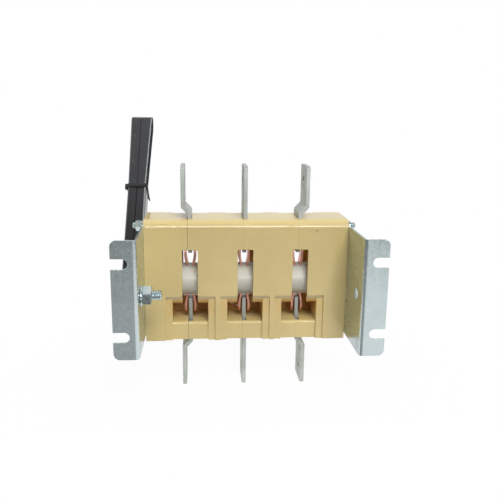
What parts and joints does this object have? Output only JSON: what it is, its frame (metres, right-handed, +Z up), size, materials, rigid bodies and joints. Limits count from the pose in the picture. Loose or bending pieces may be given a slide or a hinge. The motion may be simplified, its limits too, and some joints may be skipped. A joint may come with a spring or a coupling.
{
  "type": "switch disconnector",
  "caption": "Rotary knife switch disconnector with moulded pole housing, angle brackets, strip terminals, copper blades on an insulating shaft and a side handle.",
  "frame": {"origin": "middle of the left flange's mounting face", "axes": "+X along the shaft from the handle's side, +Y from the mounting plane to the operator's side, +Z up"},
  "size_m": [0.2533, 0.2485, 0.2705],
  "materials": {
    "moulding": "cream-yellow glossy thermoset moulding",
    "galvanised_sheet": "galvanised steel sheet with fine spangle",
    "zinc_fastener": "bright bluish zinc plating",
    "lever_steel": "dull zinc-plated steel",
    "tinned_terminal": "dull tinned copper strip",
    "copper": "bare copper",
    "shaft": "warm white insulating moulding",
    "grip": "satin black plastic",
    "cable_tie": "black nylon"
  },
  "bodies": {
    "frame": {"left_bracket": "galvanised_sheet", "right_bracket": "galvanised_sheet", "left_end_moulding": "moulding", "left_middle_moulding": "moulding", "right_middle_moulding": "moulding", "right_end_moulding": "moulding", "upper_left_terminal": "tinned_terminal", "upper_middle_terminal": "tinned_terminal", "upper_right_terminal": "tinned_terminal", "lower_left_terminal": "tinned_terminal", "lower_middle_terminal": "tinned_terminal", "lower_right_terminal": "tinned_terminal", "upper_tie_rod": "zinc_fastener", "lower_tie_rod": "zinc_fastener", "upper_left_rod_nut": "zinc_fastener", "lower_left_rod_nut": "zinc_fastener", "earth_bolt": "zinc_fastener", "earth_washer": "zinc_fastener", "earth_nut": "zinc_fastener"},
    "rotor": {"shaft": "shaft", "spindle": "lever_steel", "left_pole_left_blade": "copper", "left_pole_right_blade": "copper", "middle_pole_left_blade": "copper", "middle_pole_right_blade": "copper", "right_pole_left_blade": "copper", "right_pole_right_blade": "copper", "lever": "lever_steel", "inner_grip_half": "grip", "outer_grip_half": "grip", "cable_tie": "cable_tie"}
  },
  "joints": [
    {"name": "switch_turn", "type": "hinge", "parent": "frame", "child": "rotor", "pos_m": [0.11275, 0.089, -0.0035], "axis": [-1, 0, 0], "range_deg": [0, 90]}
  ]
}
